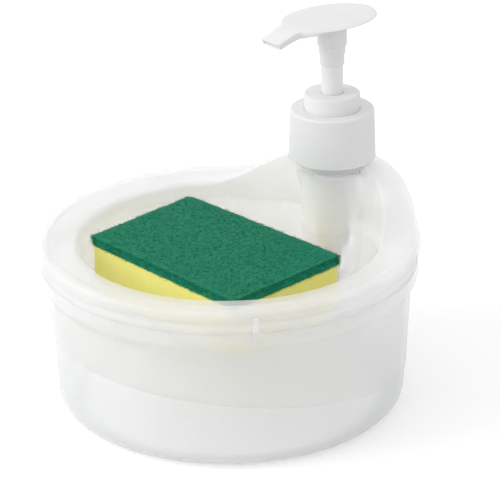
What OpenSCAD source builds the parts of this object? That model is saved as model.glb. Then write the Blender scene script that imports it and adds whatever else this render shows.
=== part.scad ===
// Soap pump caddy: a tub of liquid soap, closed by a tray with a sponge dish and a press pump.
// The origin is the centre of the foot on the table. The pump stands toward +Y, and its
// nozzle points back over the dish, toward -Y.

/* [Tub] */
// Outer radius of the band at the tub's rim
tub_r = 72.4; // [64:0.2:80]
// Height of the tub's rim above the table
tub_h = 57; // [52:0.5:66]
// Wall thickness of the tub and the tray
wall = 1.8; // [1.4:0.1:2.2]
// Height of the straight band below the tub's rim
band_h = 4; // [3:0.5:6]
// Height of the flare below the band
flare_h = 6.5; // [4:0.5:9]
// How far the flare brings the wall in
flare_w = 2.7; // [1.5:0.1:3.5]
// Draft angle of the tub's side
side_draft = 2.6; // [0.5:0.1:4]
// Height of the soap floor above the table at the tub's centre
floor_h = 21; // [19:0.5:24]
// Fall of the soap floor toward the pump, in degrees
floor_tilt = 8; // [2:0.5:9]
// Thickness of the soap floor
floor_t = 2; // [1.4:0.1:3]
// Depth of the outside step that follows the soap floor
floor_step = 0.6; // [0.2:0.1:1]
// Radius of the rounded edge at the foot
foot_round = 6.5; // [4:0.5:8]
// Width of the flat ring that stands on the table
foot_ring_w = 2.4; // [1.5:0.1:4]

/* [Tray] */
// Height of the tray's lip above the tub's rim
lip_h = 9.6; // [8:0.2:12]
// How far the lip's bead stands out past the band
bead_w = 0.9; // [0.4:0.1:1.5]
// Rounding of the lip's outer edge
lip_round = 2; // [1:0.1:2.5]
// Width of the lip's level top
lip_w = 1.8; // [1:0.1:3]
// Width of the sloping rim between the lip and the dish
rim_w = 9.5; // [7:0.1:12]
// Fall of the rim from the lip to the dish's edge
rim_fall = 1.7; // [0.8:0.1:2.4]
// Rounding of the dish's edge
edge_round = 2; // [1:0.1:3]
// Depth of the dish below the lip
dish_depth = 27.1; // [22:0.1:29]
// Draft angle of the dish's side
dish_draft = 5; // [2:0.5:8]
// Rounding where the dish's side meets its floor
dish_corner = 5; // [3:0.5:7]
// Width of the alignment ribs on the outside
rib_w = 2.3; // [1.5:0.1:4]

/* [Shoulder] */
// Rise of the shoulder's deck above the dish's edge
shoulder_rise = 16.9; // [12:0.1:20]
// Distance over which the shoulder falls to the rim
shoulder_reach = 39; // [30:0.5:45]
// Margin between the cap's side and the shoulder's outer wall
cap_margin = 3.2; // [2.6:0.1:6]
// Rounding between the pump's well and the side of the dish
well_round = 5; // [3:0.5:7]
// Height of the funnel at the top of the well
funnel_h = 10; // [6:0.5:14]
// How far the funnel spreads past the well
funnel_w = 5; // [2:0.5:6]

/* [Sponge] */
// Width of the sponge as a share of its length
sponge_w_share = 0.66; // [0.55:0.01:0.75]
// Thickness of the foam
foam_t = 20.2; // [15:0.1:24]
// Thickness of the scouring pad
scour_t = 4; // [3:0.1:8]
// Rounding of the sponge's corners
sponge_corner = 8; // [3:0.5:12]
// Gap between the sponge's front corners and the side of the dish
sponge_gap = 4; // [1:0.1:6]
// Turn of the sponge in its dish, in degrees
sponge_turn = 5.6; // [0:0.1:8]

/* [Neck and cap] */
// Height of the neck above the shoulder's deck
neck_h = 18; // [16:0.5:22]
// Gap between the pump's barrel and the neck's bore
neck_gap = 2.25; // [1.6:0.05:3]
// Depth of the screw thread
thread_depth = 1; // [0.7:0.05:1.3]
// Pitch of the screw thread
thread_pitch = 3.2; // [3:0.1:4]
// Wall thickness of the cap's skirt
cap_wall = 3; // [2.2:0.1:4]
// How much the cap narrows toward its top
cap_taper = 0.6; // [0.2:0.1:1]
// Height of the cap's lower edge above the shoulder's deck
cap_lift = 3.7; // [2:0.1:5]
// Thickness of the cap's top
cap_top_t = 1.6; // [1.2:0.1:2.5]
// Thickness of the gasket on the neck
gasket_t = 1.2; // [0.8:0.1:2]
// Thickness of the washer under the cap's top
washer_t = 1; // [0.6:0.1:1.5]

/* [Pump] */
// Outer radius of the pump's barrel
barrel_r = 8.65; // [8:0.05:9.6]
// Length of the barrel below its flange's top
barrel_l = 36.1; // [33:0.1:40]
// Gap between the barrel and the well around it
well_gap = 1.55; // [1:0.05:2.5]
// Wall thickness of the pump's mouldings
pump_wall = 1.2; // [0.9:0.05:1.4]
// Thickness of the barrel's flange
flange_t = 1.5; // [1:0.1:2.5]
// Length of the inlet chamber below the barrel
chamber_l = 13.5; // [12:0.1:16]
// Length of the nose that holds the dip tube
nose_l = 8.4; // [6:0.1:11]
// Outer radius of the dip tube
dip_r = 2.9; // [2.4:0.05:3.3]
// Wall thickness of the dip tube
dip_wall = 0.8; // [0.5:0.05:1]
// Height of the collar above the cap
collar_h = 6.4; // [5.5:0.1:9]
// Wall thickness of the collar
collar_wall = 2.15; // [1.5:0.05:2.6]
// Outer radius of the stem
stem_r = 4.2; // [3.8:0.05:4.4]
// Wall thickness of the stem
stem_wall = 1.6; // [1.2:0.05:1.8]
// Travel of the pump's head
stroke = 11.2; // [9:0.1:12]
// Radius of the valve balls
ball_r = 1.9; // [1.75:0.05:2.05]
// Radius of the return spring's wire
wire_r = 0.45; // [0.3:0.05:0.5]

/* [Head] */
// Length of the head's oval pad
head_l = 40.8; // [34:0.2:44]
// Width of the head's oval pad
head_w = 29.8; // [24:0.2:34]
// Thickness of the head's pad
head_t = 4.6; // [4.2:0.1:6]
// How far the pad's centre lies in front of the stem
head_shift = 2.4; // [0:0.1:4]
// Reach of the nozzle's mouth from the stem's axis
nozzle_reach = 30.8; // [27:0.2:36]
// Width of the nozzle
nozzle_w = 10.4; // [8:0.1:13]
// Drop of the nozzle's mouth below the pad's top
nozzle_drop = 3.8; // [3:0.1:5]
// Height of the socket that the stem enters
socket_h = 14.7; // [13:0.1:17]

/* [Hidden] */
$fn = 96;

// Clearances and the overrun of every cut
seat_gap = 0.2;
rest_gap = 0.1;
run_gap = 0.05;
slip_gap = 0.15;
overrun = 1;

// Fineness of the outlines' curves
flare_steps = 8;
arc_steps = 6;

// Tub
flare_top_z = tub_h - band_h;
flare_foot_z = flare_top_z - flare_h;
side_r = tub_r - flare_w;
floor_high_z = floor_h + tub_r * tan(floor_tilt);
foot_side_r = side_r - floor_step - tan(side_draft) * (flare_foot_z - foot_round);
foot_ring_r = foot_side_r - foot_round;
foot_inner_r = foot_ring_r - foot_ring_w;
half_space = 2 * tub_r;

// Tray
skirt_z = tub_h + seat_gap;
lip_z = tub_h + lip_h;
line_share = 0.5;
line_z = tub_h + lip_h * line_share;
line_step = bead_w * line_share;
bead_r = tub_r + bead_w;
lip_outer_r = bead_r - lip_round;
lip_inner_r = lip_outer_r - lip_w;
lip_drop = 0.4;
edge_r = lip_inner_r - rim_w;
edge_z = lip_z - rim_fall;
dish_z = lip_z - dish_depth;
dish_top_r = edge_r - edge_round;
dish_side_z = edge_z - edge_round;
dish_floor_r = dish_top_r - tan(dish_draft) * (dish_side_z - dish_z - dish_corner);
spigot_r = tub_r - wall - slip_gap;
spigot_in_r = spigot_r - wall;
spigot_z = flare_top_z + rest_gap;
skirt_in_r = tub_r - wall;
rib_step = 0.4;
rib_angle = 120;
rib_foot_share = 0.75;
rib_top_share = 0.7;

// Pump axis, shoulder and well
bore_r = barrel_r - pump_wall;
neck_bore_r = barrel_r + neck_gap;
neck_r = neck_bore_r + wall;
thread_gap = 0.3;
cap_bore_r = neck_r + thread_depth + thread_gap;
cap_r = cap_bore_r + cap_wall;
pump_y = tub_r - cap_r - cap_margin;
deck_z = edge_z + shoulder_rise;
shoulder_end_r = cap_r + shoulder_reach;
well_r = barrel_r + well_gap + wall;
fillet_lap_share = 0.02;
fillet_from_origin = dish_top_r - well_round * (1 - fillet_lap_share);
fillet_from_pump = well_r + well_round * (1 - fillet_lap_share);
fillet_y = (pow(fillet_from_origin, 2) + pow(pump_y, 2) - pow(fillet_from_pump, 2)) / (2 * pump_y);
fillet_x = sqrt(pow(fillet_from_origin, 2) - pow(fillet_y, 2));
shoulder_steps = 14;
outer_seam = 90;
inner_seam = 130;

// Sponge
sponge_r = dish_floor_r - sponge_gap;
sponge_lean_share = 0.966;
sponge_l = 2 * sponge_r * sponge_lean_share * cos(atan(sponge_w_share));
sponge_w = sponge_l * sponge_w_share;
sponge_arm = sponge_l / 2 - sponge_corner;
sponge_reach_y = sqrt(pow(sponge_r - sponge_corner, 2) - pow(sponge_arm, 2));
sponge_y = sponge_w / 2 - sponge_corner - sponge_reach_y;
sponge_rest_gap = 0.3;
foam_z = dish_z + sponge_rest_gap;

// Neck, cap and what the cap clamps
neck_top_z = deck_z + neck_h;
thread_turns = 1.5;
thread_run_in = 2;
thread_root = 0.3;
thread_root_share = 0.24;
thread_crest_share = 0.11;
thread_z = neck_top_z - thread_run_in - thread_turns * thread_pitch;
gasket_z = neck_top_z + rest_gap;
flange_z = gasket_z + gasket_t;
flange_top_z = flange_z + flange_t;
flange_r = neck_r - rest_gap;
washer_z = flange_top_z + rest_gap;
cap_ceiling_z = washer_z + washer_t + rest_gap;
cap_top_z = cap_ceiling_z + cap_top_t;
cap_z = deck_z + cap_lift;
cap_edge = 0.8;

// Barrel, chamber and nose
barrel_z = flange_top_z - barrel_l;
barrel_top = 4.5;
barrel_top_z = flange_top_z + barrel_top;
cone_h = 4.5;
cone_w = 1.65;
chamber_taper = 0.45;
chamber_r = barrel_r - cone_w;
chamber_top_z = barrel_z - cone_h;
chamber_z = chamber_top_z - chamber_l;
chamber_foot_r = chamber_r - chamber_taper;
chamber_bore_r = chamber_foot_r - pump_wall;
nose_wall = 0.7;
nose_r = dip_r + run_gap + nose_wall;
nose_z = chamber_z - nose_l;
port_share = 0.6;
port_r = ball_r * port_share;
port_roof = 1.2;
valve_cone_h = 3;
valve_z = chamber_z + port_roof;
valve_angle = atan((chamber_bore_r - port_r) / valve_cone_h);
socket_roof_z = chamber_z - port_roof;
vent_r = 0.7;
vent_drop = 5;

// Dip tube
dip_gap = 1;
dip_z = floor_h - (pump_y - dip_r) * tan(floor_tilt) + dip_gap;
dip_top_z = socket_roof_z - rest_gap;

// Inlet ball and the seat of the spring, which cages the ball
inlet_ball_z = valve_z - port_r / tan(valve_angle) + (ball_r + rest_gap) / sin(valve_angle);
inlet_lift = 1.5;
cage_z = inlet_ball_z + ball_r + inlet_lift + rest_gap;
cage_t = 1;
cage_r = chamber_bore_r - rest_gap;
cage_wall = 0.9;
cage_in_r = cage_r - cage_wall;
cage_hole_share = 0.27;
cage_holes = 3;
seat_z = barrel_z + rest_gap;
seat_t = 1.2;
seat_top_z = seat_z + seat_t;

// Collar, its sleeve and the wiper inside it
collar_r = barrel_r + rest_gap + collar_wall;
collar_top_z = cap_top_z + collar_h;
collar_roof_t = 1.8;
collar_bore_r = stem_r + slip_gap;
sleeve_depth = 7;
sleeve_z = flange_top_z - sleeve_depth;
sleeve_r = bore_r - rest_gap;
wiper_w = 1.1;
wiper_h = 4;
sleeve_in_r = stem_r + wiper_w + rest_gap;
ledge_h = 2;
ledge_z = flange_top_z - ledge_h;
ledge_r = stem_r + wiper_w / 2;
wiper_z = ledge_z + ledge_h + rest_gap;
cap_hole_r = collar_r + seat_gap;

// Piston, rod and spring
seal_h = 6;
seal_z = sleeve_z - rest_gap - seal_h;
seal_lip = 0.45;
foot_t = 1.4;
foot_z = seal_z - rest_gap - foot_t;
rod_foot_r = bore_r - pump_wall;
hub_h = 2;
stem_bore_r = stem_r - stem_wall;
rod_r = stem_bore_r - rest_gap;
rod_bore_share = 0.5;
rod_engage = 8;
stem_z = foot_z + foot_t + hub_h + rest_gap;
spring_side_gap = 1.2;
spring_r = bore_r - wire_r - spring_side_gap;
spring_turns = 6.5;
spring_sides = 6;
spring_steps = 18;
thread_steps = 24;
spring_z = seat_top_z + rest_gap + wire_r;
spring_top_z = foot_z - rest_gap - wire_r;

// Head
press_gap = 0.5;
socket_z = collar_top_z + stroke + press_gap;
pad_z = socket_z + socket_h;
head_top_z = pad_z + head_t;
socket_radii_share = [1.13, 1.23, 1.36];
socket_steps_share = [0, 0.31, 0.53];
socket_bury = 1.2;
stem_engage_share = 0.65;
stem_top_z = socket_z + socket_h * stem_engage_share;
stem_seat_h = 5.5;
stem_seat_t = 1.5;
stem_cone_h = 1.6;
stem_seat_z = stem_top_z - stem_seat_h;
stem_port_r = ball_r * port_share;
stem_cone_z = stem_seat_z + stem_seat_t;
stem_angle = atan((stem_bore_r - stem_port_r) / stem_cone_h);
outlet_ball_z = stem_cone_z - stem_port_r / tan(stem_angle) + (ball_r + rest_gap) / sin(stem_angle);
outlet_lift = 1.2;
ball_stop_z = outlet_ball_z + ball_r + outlet_lift + rest_gap;
channel_r = 0.8;
channel_z = head_top_z - head_t / 2;
mouth_z = head_top_z - nozzle_drop;
mouth_t = 2.1;
head_slice = 0.2;
head_points = 48;
head_top_share = 0.95;
head_rim_share = 0.17;
head_edge_share = 0.36;
head_base_share = 0.6;
nozzle_knee_share = 0.68;
nozzle_root_share = 0.35;
nozzle_top_share = 0.8;

function side_at(z) = side_r - tan(side_draft) * (flare_foot_z - z);
function arc(cx, cz, r, a0, a1, n) =
    [for (i = [0:n]) let (a = a0 + (a1 - a0) * i / n) [cx + r * cos(a), cz + r * sin(a)]];
function flare(inset) = [for (i = [0:flare_steps])
    [tub_r - inset - flare_w * (1 + cos(180 * i / flare_steps)) / 2, flare_foot_z + flare_h * i / flare_steps]];

// Everything below the plane of the soap floor, moved up or down by shift
module below_floor(shift) {
    translate([0, 0, floor_h + shift])
        rotate([-floor_tilt, 0, 0])
            translate([-half_space, -half_space, -2 * half_space])
                cube([2 * half_space, 2 * half_space, 2 * half_space]);
}

module above_floor(shift) {
    translate([0, 0, floor_h + shift])
        rotate([-floor_tilt, 0, 0])
            translate([-half_space, -half_space, 0])
                cube([2 * half_space, 2 * half_space, 2 * half_space]);
}

module reservoir_tub() {
    color("whitesmoke", 0.5) {
        difference() {
            union() {
                difference() {
                    rotate_extrude()
                        polygon(concat([[0, 0], [side_at(0), 0]], flare(0), [[tub_r, tub_h], [0, tub_h]]));
                    below_floor(0);
                }
                rotate_extrude()
                    polygon(concat([[0, 0]],
                                   arc(foot_ring_r, foot_round, foot_round, -90, 0, arc_steps),
                                   [[side_at(floor_high_z) - floor_step, floor_high_z], [0, floor_high_z]]));
            }
            difference() {
                rotate_extrude()
                    polygon(concat([[0, 0], [side_at(0) - wall, 0]], flare(wall),
                                   [[tub_r - wall, tub_h + overrun], [0, tub_h + overrun]]));
                below_floor(0);
            }
            difference() {
                rotate_extrude()
                    polygon(concat([[0, -overrun], [foot_inner_r, -overrun], [foot_inner_r, wall]],
                                   arc(foot_ring_r, foot_round, foot_round - wall, -90, 0, arc_steps),
                                   [[side_at(floor_high_z) - floor_step - wall, floor_high_z],
                                    [0, floor_high_z]]));
                above_floor(-floor_t);
            }
        }
        tub_ribs();
    }
}

// Short ribs outside, which line the tray up with the tub
module tub_ribs() {
    for (side = [-1, 1])
        rotate([0, 0, 90 + side * rib_angle])
            translate([tub_r - wall / 2, -rib_w / 2, flare_top_z - rib_foot_share])
                cube([wall / 2 + rib_step, rib_w, band_h + rib_foot_share]);
}

module tray_ribs() {
    for (side = [-1, 1])
        rotate([0, 0, 90 + side * rib_angle])
            translate([tub_r - wall / 2, -rib_w / 2, skirt_z])
                cube([wall / 2 + bead_w + rib_step, rib_w, lip_h * rib_top_share]);
}

// The rim's solid envelope, open to the dish's depth
module rim_envelope() {
    rotate_extrude()
        polygon(concat([[0, dish_z - wall], [edge_r, dish_z - wall], [edge_r, spigot_z], [spigot_r, spigot_z],
                        [spigot_r, skirt_z], [tub_r, skirt_z], [tub_r, line_z], [tub_r + line_step, line_z],
                        [bead_r, line_z + line_step]],
                       arc(lip_outer_r, lip_z - lip_round, lip_round, 0, 90, arc_steps),
                       [[lip_inner_r, lip_z], [lip_inner_r - lip_drop, lip_z - lip_drop],
                        [edge_r, edge_z], [0, edge_z]]));
}

// The space inside the rim's envelope, which belongs to the soap
module rim_inside() {
    rotate_extrude()
        polygon([[0, dish_z - wall - overrun], [spigot_in_r, dish_z - wall - overrun],
                 [spigot_in_r, skirt_z + wall], [skirt_in_r, line_z], [skirt_in_r, lip_z - lip_round - wall / 2],
                 [lip_inner_r - lip_drop, lip_z - lip_drop - wall], [edge_r, edge_z - wall], [0, edge_z - wall]]);
}

// The shoulder: a bell round the pump's axis that falls smoothly to the rim. The seams of its
// outer and inner faces lie at different angles, clear of each other.
module shoulder(inset) {
    intersection() {
        translate([0, pump_y, 0])
            rotate([0, 0, inset > 0 ? inner_seam : outer_seam])
                rotate_extrude()
                    polygon(concat([[0, skirt_z + overrun]], [[shoulder_end_r, skirt_z + overrun]],
                                   [for (i = [shoulder_steps:-1:0])
                                       [cap_r + shoulder_reach * i / shoulder_steps,
                                        edge_z + shoulder_rise * pow(cos(90 * i / shoulder_steps), 2) - inset]],
                                   [[0, deck_z - inset]]));
        translate([0, 0, skirt_z])
            cylinder(r = tub_r - inset, h = deck_z);
    }
}

// The well round the pump, with the roundings that join it to the side of the dish
module well(inset) {
    difference() {
        translate([0, 0, dish_z - wall - overrun])
            linear_extrude(deck_z)
                polygon([[0, pump_y], [fillet_x, fillet_y],
                         [fillet_x, fillet_y] * tub_r / fillet_from_origin, [0, tub_r],
                         [-fillet_x, fillet_y] * tub_r / fillet_from_origin, [-fillet_x, fillet_y]]);
        for (side = [-1, 1])
            translate([side * fillet_x, fillet_y, dish_z - wall - 2 * overrun])
                cylinder(r = well_round + inset, h = 2 * deck_z);
    }
    translate([0, pump_y, dish_z - wall - overrun])
        cylinder(r = well_r - inset, h = deck_z);
    translate([0, pump_y, deck_z - funnel_h])
        cylinder(r1 = well_r - inset, r2 = well_r + funnel_w - inset, h = funnel_h);
    translate([0, pump_y, deck_z])
        cylinder(r = well_r + funnel_w - inset, h = funnel_h);
}

// The dish's hollow, grown by inset to give the outside of its wall
module dish_hollow(inset) {
    difference() {
        rotate_extrude()
            polygon(concat([[0, dish_z - inset]],
                           arc(dish_floor_r - dish_corner, dish_z + dish_corner, dish_corner + inset,
                               -90, -dish_draft, arc_steps),
                           [[dish_top_r + inset, dish_side_z]],
                           arc(edge_r, dish_side_z, edge_round - min(inset, edge_round - run_gap),
                               180, 90, arc_steps),
                           [[edge_r + inset, edge_z], [edge_r + inset, deck_z + overrun],
                            [0, deck_z + overrun]]));
        well(inset);
    }
}

// A section given by its corners in radius and height, swept up a helix
module helix_sweep(corners, rise, turns, steps_per_turn) {
    count = len(corners);
    steps = ceil(turns * steps_per_turn);
    points = [for (i = [0:steps]) let (a = 360 * turns * i / steps) for (c = corners)
        [c[0] * cos(a), c[0] * sin(a), c[1] + rise * i / steps]];
    sides = [for (i = [0:steps - 1]) for (k = [0:count - 1])
        let (p = i * count + k, q = i * count + (k + 1) % count)
            each [[p, q, q + count], [p, q + count, p + count]]];
    start = [[for (k = [count - 1:-1:0]) k]];
    end = [[for (k = [0:count - 1]) steps * count + k]];
    polyhedron(points, concat(start, sides, end), convexity = 10);
}

// A thread's ridge between an inner and an outer radius
module thread_ridge(inner_r, inner_share, outer_r, outer_share) {
    helix_sweep([[inner_r, -inner_share * thread_pitch], [outer_r, -outer_share * thread_pitch],
                 [outer_r, outer_share * thread_pitch], [inner_r, inner_share * thread_pitch]],
                thread_turns * thread_pitch, thread_turns, thread_steps);
}

module sponge_tray() {
    color("whitesmoke", 0.6) {
        difference() {
            union() {
                rim_envelope();
                shoulder(0);
                translate([0, pump_y, deck_z - wall])
                    cylinder(r = neck_r, h = neck_h + wall);
            }
            dish_hollow(0);
            difference() {
                union() {
                    rim_inside();
                    shoulder(wall);
                }
                dish_hollow(wall);
            }
            translate([0, pump_y, deck_z - wall - overrun])
                cylinder(r = neck_bore_r, h = neck_h + wall + 2 * overrun);
        }
        tray_ribs();
        translate([0, pump_y, thread_z])
            thread_ridge(neck_r - thread_root, thread_root_share, neck_r + thread_depth, thread_crest_share);
    }
}

module rounded_block(length, width, height, corner) {
    linear_extrude(height) {
        square([length - 2 * corner, width], center = true);
        square([length, width - 2 * corner], center = true);
        for (x = [-1, 1]) for (y = [-1, 1])
            translate([x * (length / 2 - corner), y * (width / 2 - corner)])
                circle(r = corner);
    }
}

module in_dish(z) {
    translate([0, sponge_y, z])
        rotate([0, 0, sponge_turn])
            children();
}

module sponge_foam() {
    color("khaki")
        in_dish(foam_z)
            rounded_block(sponge_l, sponge_w, foam_t, sponge_corner);
}

module scour_pad() {
    color("seagreen")
        in_dish(foam_z + foam_t)
            rounded_block(sponge_l, sponge_w, scour_t, sponge_corner);
}

// Places a piece of revolution on the pump's axis
module on_pump(z = 0) {
    translate([0, pump_y, z])
        children();
}

module ring(r_in, r_out, h) {
    difference() {
        cylinder(r = r_out, h = h);
        translate([0, 0, -overrun])
            cylinder(r = r_in, h = h + 2 * overrun);
    }
}

module closure_cap() {
    color("white")
        on_pump() {
            difference() {
                rotate_extrude()
                    polygon([[0, cap_z], [cap_r, cap_z], [cap_r - cap_taper, cap_top_z - cap_edge],
                             [cap_r - cap_taper - cap_edge, cap_top_z], [0, cap_top_z]]);
                translate([0, 0, cap_z - overrun])
                    cylinder(r = cap_bore_r, h = cap_ceiling_z - cap_z + overrun);
                translate([0, 0, cap_z])
                    cylinder(r = cap_hole_r, h = cap_top_z - cap_z + overrun);
            }
            translate([0, 0, thread_z - thread_pitch / 2])
                thread_ridge(cap_bore_r - thread_depth, thread_crest_share,
                             cap_bore_r + thread_root, thread_root_share);
        }
}

module cap_washer() {
    color("gainsboro")
        on_pump(washer_z)
            ring(cap_hole_r, cap_bore_r - thread_gap, washer_t);
}

module neck_gasket() {
    color("silver")
        on_pump(gasket_z)
            ring(barrel_r + rest_gap, flange_r, gasket_t);
}

module pump_housing() {
    color("gainsboro")
        on_pump()
            difference() {
                rotate_extrude()
                    polygon([[0, nose_z], [nose_r, nose_z], [nose_r, chamber_z], [chamber_foot_r, chamber_z],
                             [chamber_r, chamber_top_z], [barrel_r, barrel_z], [barrel_r, flange_z],
                             [flange_r, flange_z], [flange_r, flange_top_z], [barrel_r, flange_top_z],
                             [barrel_r, barrel_top_z], [0, barrel_top_z]]);
                rotate_extrude()
                    polygon([[0, valve_z], [port_r, valve_z], [chamber_bore_r, valve_z + valve_cone_h],
                             [chamber_r - pump_wall, chamber_top_z], [bore_r, barrel_z],
                             [bore_r, barrel_top_z + overrun], [0, barrel_top_z + overrun]]);
                translate([0, 0, nose_z])
                    cylinder(r = port_r, h = valve_z - nose_z + overrun);
                translate([0, 0, nose_z - overrun])
                    cylinder(r = dip_r + run_gap, h = socket_roof_z - nose_z + overrun);
                translate([0, 0, flange_z - vent_drop])
                    rotate([0, 90, 0])
                        cylinder(r = vent_r, h = barrel_r + overrun);
            }
}

module dip_tube() {
    color("gainsboro")
        on_pump(dip_z)
            ring(dip_r - dip_wall, dip_r, dip_top_z - dip_z);
}

module inlet_ball() {
    color("silver")
        on_pump(inlet_ball_z)
            sphere(r = ball_r);
}

module spring_seat() {
    color("white")
        on_pump()
            difference() {
                rotate_extrude()
                    polygon([[0, cage_z], [cage_r, cage_z], [cage_r, seat_z], [bore_r - rest_gap, seat_z],
                             [bore_r - rest_gap, seat_top_z], [0, seat_top_z]]);
                translate([0, 0, cage_z + cage_t])
                    cylinder(r = cage_in_r, h = seat_top_z - cage_z);
                for (i = [0:cage_holes - 1])
                    rotate([0, 0, 360 * i / cage_holes])
                        translate([cage_in_r / 2, 0, cage_z - overrun])
                            cylinder(r = cage_in_r * cage_hole_share, h = cage_t + 2 * overrun);
            }
}

module return_spring() {
    color("silver")
        on_pump(spring_z)
            helix_sweep([for (k = [0:spring_sides - 1]) let (a = 360 * k / spring_sides)
                            [spring_r + wire_r * cos(a), wire_r * sin(a)]],
                        spring_top_z - spring_z, spring_turns, spring_steps);
}

module piston_rod() {
    color("white")
        on_pump()
            difference() {
                rotate_extrude()
                    polygon([[0, foot_z], [rod_foot_r, foot_z], [rod_foot_r, foot_z + foot_t],
                             [stem_r, foot_z + foot_t], [stem_r, stem_z - rest_gap],
                             [rod_r, stem_z - rest_gap], [rod_r, stem_z + rod_engage], [0, stem_z + rod_engage]]);
                translate([0, 0, foot_z - overrun])
                    cylinder(r = rod_r * rod_bore_share, h = stem_z + rod_engage - foot_z + 2 * overrun);
            }
}

module piston_seal() {
    color("lightgray")
        on_pump()
            rotate_extrude()
                polygon([[stem_r + rest_gap, seal_z], [bore_r - run_gap, seal_z],
                         [bore_r - run_gap, seal_z + foot_t], [bore_r - seal_lip, seal_z + hub_h],
                         [bore_r - seal_lip, seal_z + seal_h - hub_h],
                         [bore_r - run_gap, seal_z + seal_h - foot_t], [bore_r - run_gap, seal_z + seal_h],
                         [stem_r + rest_gap, seal_z + seal_h]]);
}

module stem_tube() {
    color("white")
        on_pump()
            difference() {
                translate([0, 0, stem_z])
                    cylinder(r = stem_r, h = stem_top_z - stem_z);
                translate([0, 0, stem_z - overrun])
                    cylinder(r = stem_bore_r, h = stem_seat_z - stem_z + overrun);
                translate([0, 0, stem_z])
                    cylinder(r = stem_port_r, h = stem_top_z - stem_z);
                rotate_extrude()
                    polygon([[0, stem_cone_z], [stem_port_r, stem_cone_z], [stem_bore_r, stem_cone_z + stem_cone_h],
                             [stem_bore_r, stem_top_z + overrun], [0, stem_top_z + overrun]]);
            }
}

module stem_wiper() {
    color("silver")
        on_pump(wiper_z)
            ring(stem_r + run_gap, stem_r + wiper_w, wiper_h);
}

module lock_collar() {
    color("white")
        on_pump()
            rotate_extrude()
                polygon([[sleeve_in_r, sleeve_z], [sleeve_r, sleeve_z], [sleeve_r, barrel_top_z + rest_gap],
                         [barrel_r + rest_gap, barrel_top_z + rest_gap], [barrel_r + rest_gap, flange_top_z],
                         [collar_r, flange_top_z], [collar_r, collar_top_z - cap_edge / 2],
                         [collar_r - cap_edge / 2, collar_top_z], [collar_bore_r, collar_top_z],
                         [collar_bore_r, collar_top_z - collar_roof_t], [sleeve_in_r, collar_top_z - collar_roof_t],
                         [sleeve_in_r, ledge_z + ledge_h], [ledge_r, ledge_z + ledge_h], [ledge_r, ledge_z],
                         [sleeve_in_r, ledge_z]]);
}

module outlet_ball() {
    color("silver")
        on_pump(outlet_ball_z)
            sphere(r = ball_r);
}

// One level slice of the head's oval pad, smaller by a share
module pad_slice(share, z, h) {
    translate([0, -head_shift, z])
        linear_extrude(h)
            polygon([for (i = [0:head_points - 1]) let (a = 360 * i / head_points)
                [head_w / 2 * share * cos(a), head_l / 2 * share * sin(a)]]);
}

// One upright slice of the nozzle, with its upper edges taken off
module nozzle_slice(reach, bottom, top, edge) {
    translate([0, -reach, 0])
        rotate([90, 0, 0])
            linear_extrude(head_slice)
                polygon([[-nozzle_w / 2 + edge / 2, bottom], [nozzle_w / 2 - edge / 2, bottom],
                         [nozzle_w / 2, bottom + edge / 2], [nozzle_w / 2, top - edge],
                         [nozzle_w / 2 - edge, top], [-nozzle_w / 2 + edge, top],
                         [-nozzle_w / 2, top - edge], [-nozzle_w / 2, bottom + edge / 2]]);
}

module actuator_head() {
    knee_top = head_top_z - head_t * (1 - nozzle_top_share) / 2;
    knee_bottom = pad_z;
    color("white")
        on_pump()
            difference() {
                union() {
                    hull() {
                        pad_slice(head_top_share, head_top_z - head_slice, head_slice);
                        pad_slice(1, head_top_z - head_t * head_edge_share, head_t * head_rim_share);
                        pad_slice(head_base_share, pad_z, head_slice);
                    }
                    hull() {
                        nozzle_slice(nozzle_reach * nozzle_root_share, knee_bottom, head_top_z - head_slice,
                                     head_slice);
                        nozzle_slice(nozzle_reach * nozzle_knee_share, knee_bottom, knee_top, head_slice * 4);
                    }
                    hull() {
                        nozzle_slice(nozzle_reach * nozzle_knee_share, knee_bottom, knee_top, head_slice * 4);
                        nozzle_slice(nozzle_reach - head_slice, mouth_z - mouth_t, mouth_z, head_slice * 2);
                    }
                    for (i = [0:2])
                        translate([0, 0, socket_z + socket_h * socket_steps_share[i]])
                            cylinder(r = stem_r * socket_radii_share[i],
                                     h = socket_h * (1 - socket_steps_share[i]) + socket_bury);
                }
                translate([0, 0, socket_z - overrun])
                    cylinder(r = stem_r + run_gap, h = stem_top_z + rest_gap - socket_z + overrun);
                translate([0, 0, socket_z])
                    cylinder(r = ball_r + seat_gap, h = ball_stop_z - socket_z);
                translate([0, 0, socket_z])
                    cylinder(r = channel_r, h = channel_z - socket_z);
                translate([0, 0, channel_z])
                    rotate([90 + atan((channel_z - mouth_z + mouth_t / 2) / nozzle_reach), 0, 0])
                        cylinder(r = channel_r, h = nozzle_reach + 2 * overrun);
            }
}

reservoir_tub();
sponge_tray();
sponge_foam();
scour_pad();
closure_cap();
cap_washer();
neck_gasket();
lock_collar();
pump_housing();
dip_tube();
inlet_ball();
spring_seat();
return_spring();
piston_rod();
piston_seal();
stem_tube();
stem_wiper();
outlet_ball();
actuator_head();
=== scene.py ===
"""The looks of the soap pump caddy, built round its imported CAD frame.

Lengths in the tables and functions below are in millimetres, in the frame of the CAD model:
the origin on the table under the tub's centre, the pump toward +Y. Meshes are made in metres.
"""

import math
import random

import bmesh
import bpy
import numpy as np
from mathutils import Matrix, Vector, noise


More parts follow.
